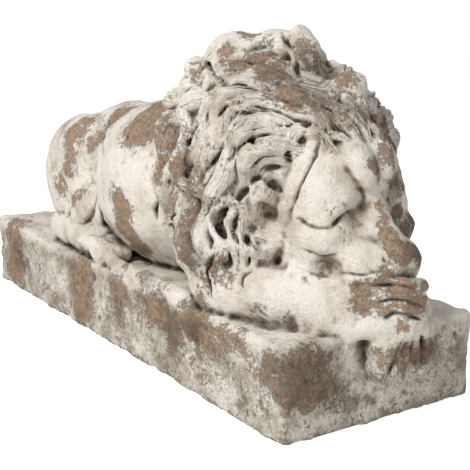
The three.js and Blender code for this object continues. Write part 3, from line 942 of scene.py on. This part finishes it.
def unevenness(clay, size, chance):
    """Random values over the whole grid, joined by cubic splines, with bumps of about the given size."""
    spread = []
    counts = []
    for axis in clay.axes:
        place = (axis - axis[0]) / size
        count = int(place[-1]) + SPLINE_SPAN
        gap = np.abs(place[:, None] + 1 - np.arange(count)[None, :])
        near = np.clip(2 - gap, 0, None) ** 3 - 4 * np.clip(1 - gap, 0, None) ** 3
        near /= np.sqrt((near ** 2).sum(1, keepdims=True))
        spread.append(near.astype(np.float32))
        counts.append(count)
    values = chance.standard_normal(counts).astype(np.float32)
    for weights in spread:
        values = np.moveaxis(np.tensordot(weights, values, axes=(1, 0)), 0, 2)
    return values


def softened(values):
    """Values with what is finer than the grid can carry taken out."""
    for axis in range(3):
        size = values.shape[axis]
        before = np.take(values, np.maximum(np.arange(size) - 1, 0), axis)
        after = np.take(values, np.minimum(np.arange(size) + 1, size - 1), axis)
        values = (before + SOFTENED_KEEP * values + after) / (SOFTENED_KEEP + 2)
    return values


def weather(clay, chance):
    """Uneven and pitted all over, and more so on the plinth, with a flat underside."""
    height = clay.axes[2].reshape(1, 1, -1)
    rough = 1 + (PLINTH_ROUGHNESS - 1) * np.clip(-height / (2 * PLINTH_ROUNDING), 0, 1)
    clay.field += LUMP_HEIGHT * rough * unevenness(clay, LUMP_SIZE, chance)
    clay.field += GRAIN_HEIGHT * rough * unevenness(clay, GRAIN_SIZE, chance)
    pores = np.clip(unevenness(clay, PORE_SIZE, chance) - PORE_RARITY / np.sqrt(rough), 0, 1)
    clay.field += PORE_DEPTH * pores
    clay.field = np.maximum(softened(clay.field), -height - PLINTH_HEIGHT)


# Meshing

def surface(clay):
    """One corner in each cell that the surface crosses, and one face round each edge that it crosses."""
    field = clay.field
    inside = field < 0
    cells = [size - 1 for size in field.shape]
    corners = list(np.ndindex(2, 2, 2))
    count = np.zeros(cells, np.int8)
    for i, j, k in corners:
        count += inside[i:cells[0] + i, j:cells[1] + j, k:cells[2] + k]
    crossed = np.argwhere((count > 0) & (count < len(corners)))
    index = np.full(cells, -1, np.int32)
    index[tuple(crossed.T)] = np.arange(len(crossed))
    total = np.zeros((len(crossed), 3))
    hits = np.zeros((len(crossed), 1))
    for corner in corners:
        for axis in range(3):
            if corner[axis]:
                continue
            step = np.eye(3, dtype=int)[axis]
            first = field[tuple((crossed + corner).T)]
            last = field[tuple((crossed + corner + step).T)]
            cut = (first < 0) != (last < 0)
            share = np.where(cut, first / np.where(cut, first - last, 1), 0)
            total += (np.array(corner) + share[:, None] * step) * cut[:, None]
            hits += cut[:, None]
    points = (crossed + total / hits) * CELL + clay.low
    faces = []
    for axis in range(3):
        beside, above = (axis + 1) % 3, (axis + 2) % 3
        starts = np.take(inside, range(cells[axis]), axis)
        ends = np.take(inside, range(1, cells[axis] + 1), axis)
        edges = np.argwhere(starts != ends)
        room = [(edges[:, side] > 0) & (edges[:, side] < cells[side]) for side in (beside, above)]
        edges = edges[room[0] & room[1]]
        ring = []
        for back, down in ((1, 1), (0, 1), (0, 0), (1, 0)):
            cell = edges.copy()
            cell[:, beside] -= back
            cell[:, above] -= down
            ring.append(index[tuple(cell.T)])
        quads = np.stack(ring, 1)
        inward = ~starts[tuple(edges.T)]
        quads[inward] = quads[inward][:, ::-1]
        faces.append(quads)
    return points, np.concatenate(faces)


def keep_outside(mesh):
    """Drops the skins of enclosed hollows, leaving the largest connected skin."""
    shape = bmesh.new()
    shape.from_mesh(mesh)
    unseen = set(shape.verts)
    skins = []
    while unseen:
        skin = [unseen.pop()]
        for corner in skin:
            for edge in corner.link_edges:
                other = edge.other_vert(corner)
                if other in unseen:
                    unseen.remove(other)
                    skin.append(other)
        skins.append(skin)
    skins.sort(key=len)
    loose = [corner for skin in skins[:-1] for corner in skin]
    bmesh.ops.delete(shape, geom=loose, context="VERTS")
    shape.to_mesh(mesh)
    shape.free()


def blurred(values, radius):
    """Values spread over their neighbours."""
    for _ in range(BLUR_PASSES):
        for axis in range(3):
            padding = [(0, 0)] * 3
            padding[axis] = (radius + 1, radius)
            sums = np.cumsum(np.pad(values, padding, mode="edge"), axis=axis, dtype=np.float32)
            size = values.shape[axis]
            ends = np.take(sums, range(2 * radius + 1, 2 * radius + 1 + size), axis)
            starts = np.take(sums, range(size), axis)
            values = (ends - starts) / (2 * radius + 1)
    return values


def nearness(clay, points, spots):
    """How strongly spots of a radius reach points, from 0 to 1."""
    total = np.zeros(len(points))
    for column, row, radius, strength in spots:
        for place in seen(clay, [(column, row)]):
            gap = np.linalg.norm(points - place, axis=1) / radius
            total = np.maximum(total, strength * np.clip(SPOT_EDGE - gap, 0, 1))
    return total


def add_measures(mesh, clay):
    """Stores for each corner how sunk and how closed in it is, how its hair runs, how bare it is, and how
    dark it is painted, partly as painted shade.
    """
    points = np.empty(len(mesh.vertices) * 3, np.float32)
    mesh.vertices.foreach_get("co", points)
    points = points.reshape(-1, 3) / METRES - PLINTH_HEIGHT * UP
    filled = np.clip(0.5 - clay.field / SKIN, 0, 1)
    slopes = np.gradient(clay.strand, CELL)
    jump = clay.at(points, np.sqrt(sum(slope ** 2 for slope in slopes)))
    hair = clay.at(points, clay.hair)
    measures = {
        "cavity": 2 * clay.at(points, blurred(filled, CAVITY_BLUR)) - 1,
        # How closed in each corner is, used only to paint shade into hollows
        "hollow_shade": 2 * clay.at(points, blurred(filled, HOLLOW_BLUR)) - 1,
        "hair": hair,
        "strand": clay.at(points, clay.strand),
        "combed": hair * np.clip(STRAND_JUMP - jump, 0, 1),
        "bare": nearness(clay, points, BARE_SPOTS),
        # Dark patches, and painted shade on the far side of the nose and under the forearm
        "dark_and_shade": nearness(clay, points, DARK_AND_SHADE_SPOTS),
    }
    for name, values in measures.items():
        attribute = mesh.attributes.new(name, "FLOAT", "POINT")
        attribute.data.foreach_set("value", values.astype(np.float32))


def placed(name, data):
    """A new object in the scene."""
    made = bpy.data.objects.new(name, data)
    bpy.context.scene.collection.objects.link(made)
    return made


def casting():
    """The whole statue as one object."""
    chance = np.random.default_rng(SEED)
    low, high = (np.array(corner) / METRES - PLINTH_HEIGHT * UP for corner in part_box(NODE))
    clay = Clay(low - GRID_MARGIN, high + GRID_MARGIN)
    body(clay)
    mane(clay, chance)
    head(clay)
    band(clay)
    pads(clay)
    hanging_locks(clay)
    bridge(clay)
    hair_tips(clay)
    coat = clay.field.copy()
    forelegs(clay)
    creases(clay)
    hind_feet(clay)
    plinth(clay, chance)
    clay.hair[clay.field < coat] = 0
    weather(clay, chance)
    points, faces = surface(clay)
    mesh = bpy.data.meshes.new(NODE)
    mesh.from_pydata((points + PLINTH_HEIGHT * UP) * METRES, [], faces.tolist())
    thick = placed("thick", mesh)
    thinning = thick.modifiers.new("thinning", "DECIMATE")
    thinning.ratio = min(1, MOST_TRIANGLES / (2 * len(faces)))
    thin = bpy.data.meshes.new_from_object(thick.evaluated_get(bpy.context.evaluated_depsgraph_get()))
    bpy.data.objects.remove(thick)
    keep_outside(thin)
    add_measures(thin, clay)
    thin.shade_smooth()
    return placed("resting_lion", thin)


# The material: its colours, and its patterns of noise by scale, detail, roughness and distortion
WASH = (0.81, 0.755, 0.68)
WASH_WORN = (0.57, 0.50, 0.41)
TAN = (0.38, 0.25, 0.16)
BROWN = (0.165, 0.1, 0.066)
# Near-black of dirt and of painted deep shade in crevices
DIRT_AND_DEEP_SHADE = (0.035, 0.027, 0.02)
# Brown-grey of stains, also laid on as painted shade
STAIN_AND_SHADE_COLOUR = (0.20, 0.155, 0.115)
GREEN_GREY = (0.27, 0.245, 0.18)
PATTERNS = {
    "patches": (24, 10, 0.62, 0.4),
    "flakes": (110, 8, 0.65, 0),
    "crumbs": (430, 4, 0.6, 0),
    "stains": (15, 8, 0.62, 0),
    "grain": (260, 5, 0.6, 0),
}
PATTERN_SOCKETS = ("Vector", "Scale", "Detail", "Roughness", "Distortion")
MIX_COLOURS = slice(6, 8)
MIX_RESULT = 2
MEASURES = ("cavity", "hollow_shade", "bare", "dark_and_shade", "hair", "strand", "combed")
FINE_STRAND = 3.6
STRAND_WANDER = 5

# The sums that the material is made from: a start, and a share of each value
PHASE = (0, {"strand": 2 * math.pi / FINE_STRAND, "flakes": STRAND_WANDER})
COVER = {"patches": -0.4, "flakes": -0.3, "grain": -0.3}
LOSS = (0.37, {"worn_and_shaded": 0.17, "low_down": 0.08, "hair": 0.035, "sunk": 0.04, **COVER})
GREENNESS = (0, {"stains": 1, "flakes": 1})
# The cast is browner at the dark spots, which are partly painted shade
CAST_TONE = (0, {"flakes": 1, "dark_and_shade": 0.3})
# Stains, darker at the dark spots, which are partly painted shade, and a little darker on the hair
STAIN_AND_SHADE_SUM = (0, {"stains": 1, "dark_and_shade": 0.45, "hair": 0.08})
# Dirt and painted shade in crevices, lighter on the ridges of the fine strands and darker in their grooves
GRIME_AND_SHADE = (-0.35, {"cavity": 1, "flakes": 0.7, "strands": -0.17})
# Painted shade in hollows, stronger on the hair
HOLLOW_SHADE_STRENGTH = (0.3, {"hair": 0.5})
SPECKLE = (0.17, {"low_down": 0.55, "stained": 0.25})
RELIEF = (0, {"gone": -0.3, "flakes": 0.5, "strands": 0.15, "grain": 0.4, "crumbs": 0.3})

# Where an effect starts and where it is full, and for some its least and most
LOW_DOWN = (PLINTH_HEIGHT * METRES, 0.85 * PLINTH_HEIGHT * METRES)
SUNK = (-0.05, -0.4)
GONE = (-0.03, 0.045, 0, 0.92)
WORN_WASH = (0.42, 0.7)
GREEN = (0.85, 1.25, 0.1, 0.75)
DARK_CAST = (0.44, 0.74)
GRAINY_CAST = (0.46, 0.62, 0, 0.85)
STAIN_AND_SHADE_RANGE = (0.5, 0.95, 0, 0.7)
HOLLOW_SHADE_RANGE = (0.1, 0.65)
GRIMY_AND_SHADED = (0, 0.3, 0, 0.8)
DIRTY_AND_SHADED = (0.2, 0.5, 0, 0.95)
STAINED = (0.42, 0.65)
SPECKED = (0.56, 0.66)
ROUGHNESS = (0, 1, 0.82, 0.94)
SPECULAR = 0.2
BUMP_DISTANCE = 0.006
BUMP_STRENGTH = 1


class Nodes:
    """Short names for the nodes of one material, and its values by name."""

    def __init__(self, material):
        self.tree = material.node_tree
        self.place = self.add("ShaderNodeTexCoord").outputs["Object"]
        self.values = {}

    def add(self, kind, **settings):
        made = self.tree.nodes.new(kind)
        for name, value in settings.items():
            setattr(made, name, value)
        return made

    def fill(self, socket, value):
        if isinstance(value, bpy.types.NodeSocket):
            self.tree.links.new(value, socket)
        else:
            socket.default_value = value

    def noise(self, settings):
        made = self.add("ShaderNodeTexNoise")
        for name, value in zip(PATTERN_SOCKETS, (self.place, *settings)):
            self.fill(made.inputs[name], value)
        return made.outputs["Fac"]

    def measure(self, name):
        return self.add("ShaderNodeAttribute", attribute_name=name).outputs["Fac"]

    def count(self, operation, first, second=0):
        made = self.add("ShaderNodeMath", operation=operation)
        self.fill(made.inputs[0], first)
        self.fill(made.inputs[1], second)
        return made.outputs[0]

    def times(self, first, second):
        return self.count("MULTIPLY", first, second)

    def total(self, start, shares):
        for name, share in shares.items():
            start = self.count("ADD", start, self.times(self.values[name], share))
        return start

    def step(self, value, low, high, least=0, most=1):
        """An effect that grows smoothly with a value, given by its name or as a sum."""
        value = self.values[value] if isinstance(value, str) else self.total(*value)
        made = self.add("ShaderNodeMapRange", interpolation_type="SMOOTHSTEP")
        for socket, given in zip(made.inputs, (value, low, high, least, most)):
            self.fill(socket, given)
        return made.outputs["Result"]

    def mix(self, share, first, second):
        made = self.add("ShaderNodeMix", data_type="RGBA")
        self.fill(made.inputs["Factor"], share)
        for socket, colour in zip(made.inputs[MIX_COLOURS], (first, second)):
            self.fill(socket, colour if isinstance(colour, bpy.types.NodeSocket) else (*colour, 1))
        return made.outputs[MIX_RESULT]


def limewash():
    """Off-white wash that flakes off a tan-brown body, with dirt and painted shade in the hollows and
    creases, and a stained plinth.
    """
    material = bpy.data.materials.new("limewash")
    material.use_nodes = True
    nodes = Nodes(material)
    values = nodes.values
    for name in MEASURES:
        values[name] = nodes.measure(name)
    for name, settings in PATTERNS.items():
        values[name] = nodes.noise(settings)
    place = nodes.add("ShaderNodeSeparateXYZ")
    nodes.fill(place.inputs[0], nodes.place)
    values["height"] = place.outputs["Z"]
    values["low_down"] = nodes.step("height", *LOW_DOWN)
    values["sunk"] = nodes.step("cavity", *SUNK)
    values["stained"] = nodes.step("stains", *STAINED)
    # The wash also comes off at the dark spots, which are partly painted shade
    values["worn_and_shaded"] = nodes.count("MAXIMUM", values["bare"], values["dark_and_shade"])
    values["strands"] = nodes.times(nodes.count("SINE", nodes.total(*PHASE)), values["combed"])
    values["gone"] = nodes.step(LOSS, *GONE)

    wash = nodes.mix(nodes.step("stains", *WORN_WASH), WASH, WASH_WORN)
    wash = nodes.mix(nodes.times(values["low_down"], nodes.step(GREENNESS, *GREEN)), wash, GREEN_GREY)
    cast = nodes.mix(nodes.step(CAST_TONE, *DARK_CAST), TAN, BROWN)
    cast = nodes.mix(nodes.step("grain", *GRAINY_CAST), cast, BROWN)
    colour = nodes.mix(values["gone"], wash, cast)
    # Layers over the colour: stains, painted shade in hollows, dirt and painted shade in crevices, and
    # brown specks
    layers = [
        # Stains, and painted shade at the dark spots
        (nodes.step(STAIN_AND_SHADE_SUM, *STAIN_AND_SHADE_RANGE), STAIN_AND_SHADE_COLOUR),
        # Painted shade in hollows
        (nodes.times(nodes.step("hollow_shade", *HOLLOW_SHADE_RANGE), nodes.total(*HOLLOW_SHADE_STRENGTH)), STAIN_AND_SHADE_COLOUR),
        # Dirt and painted shade in crevices, near-black in the deepest
        (nodes.step(GRIME_AND_SHADE, *GRIMY_AND_SHADED), STAIN_AND_SHADE_COLOUR),
        (nodes.step(GRIME_AND_SHADE, *DIRTY_AND_SHADED), DIRT_AND_DEEP_SHADE),
        (nodes.times(nodes.step("crumbs", *SPECKED), nodes.total(*SPECKLE)), BROWN),
    ]
    for share, paint in layers:
        colour = nodes.mix(share, colour, paint)

    bump = nodes.add("ShaderNodeBump")
    nodes.fill(bump.inputs["Distance"], BUMP_DISTANCE)
    nodes.fill(bump.inputs["Strength"], BUMP_STRENGTH)
    nodes.fill(bump.inputs["Height"], nodes.total(*RELIEF))
    shader = nodes.tree.nodes["Principled BSDF"]
    nodes.fill(shader.inputs["Base Color"], colour)
    nodes.fill(shader.inputs["Roughness"], nodes.step("gone", *ROUGHNESS))
    nodes.fill(shader.inputs["Specular IOR Level"], SPECULAR)
    nodes.fill(shader.inputs["Normal"], bump.outputs["Normal"])
    return material


# The studio, with its lights by name, place, size and power
LIGHTS = [
    ("key", (0.45, -1.9, 2.0), 0.7, 53),
    ("front", (2.2, -1.3, 0.9), 1.4, 17),
    ("rear", (-1.4, 1.4, 1.8), 1.4, 12),
]
LIGHT_TARGET = Vector((0.05, 0, 0.2))
WORLD_STRENGTH = 0.3
BACKGROUND_STRENGTH = 1
FLOOR_SIZE = 30
FLOOR_COLOUR = (0.9, 0.9, 0.89, 1)
FLOOR_ROUGHNESS = 0.9
FLOOR_GLOW = 0.85
WHITE = (1, 1, 1, 1)


def aimed(thing, direction):
    """Turns a light or the camera to look along a direction."""
    thing.rotation_mode = "QUATERNION"
    thing.rotation_quaternion = Vector(direction).to_track_quat("-Z", "Y")


def camera():
    lens = bpy.data.cameras.new("camera")
    lens.sensor_width = SENSOR_WIDTH
    lens.lens = FOCAL_PIXELS / IMAGE_SIZE * SENSOR_WIDTH
    made = placed("camera", lens)
    made.location = Vector(CAMERA_PLACE) * METRES
    aimed(made, -camera_axes()[2])
    bpy.context.scene.camera = made


def set_by_sight(tree, socket, unseen, in_sight):
    """Gives a socket one value for the light it sends out and another for what the camera sees."""
    ray = tree.nodes.new("ShaderNodeLightPath")
    strength = tree.nodes.new("ShaderNodeMapRange")
    strength.inputs["To Min"].default_value = unseen
    strength.inputs["To Max"].default_value = in_sight
    tree.links.new(ray.outputs["Is Camera Ray"], strength.inputs["Value"])
    tree.links.new(strength.outputs["Result"], socket)


def studio():
    for name, place, size, power in LIGHTS:
        lamp = bpy.data.lights.new(name, "AREA")
        lamp.size = size
        lamp.energy = power
        made = placed(name, lamp)
        made.location = place
        aimed(made, LIGHT_TARGET - Vector(place))
    world = bpy.data.worlds.new("studio")
    world.use_nodes = True
    sky = world.node_tree.nodes["Background"]
    sky.inputs["Color"].default_value = WHITE
    set_by_sight(world.node_tree, sky.inputs["Strength"], WORLD_STRENGTH, BACKGROUND_STRENGTH)
    bpy.context.scene.world = world
    bpy.context.scene.view_settings.view_transform = "Standard"
    bpy.ops.mesh.primitive_plane_add(size=FLOOR_SIZE)
    floor = bpy.context.object
    floor.name = "floor"
    paint = bpy.data.materials.new("floor")
    paint.use_nodes = True
    shader = paint.node_tree.nodes["Principled BSDF"]
    shader.inputs["Base Color"].default_value = FLOOR_COLOUR
    shader.inputs["Roughness"].default_value = FLOOR_ROUGHNESS
    shader.inputs["Emission Color"].default_value = FLOOR_COLOUR
    set_by_sight(paint.node_tree, shader.inputs["Emission Strength"], 0, FLOOR_GLOW)
    floor.data.materials.append(paint)


statue = casting()
statue.data.materials.clear()
statue.data.materials.append(limewash())
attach(statue, "root")
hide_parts(NODE)
camera()
studio()
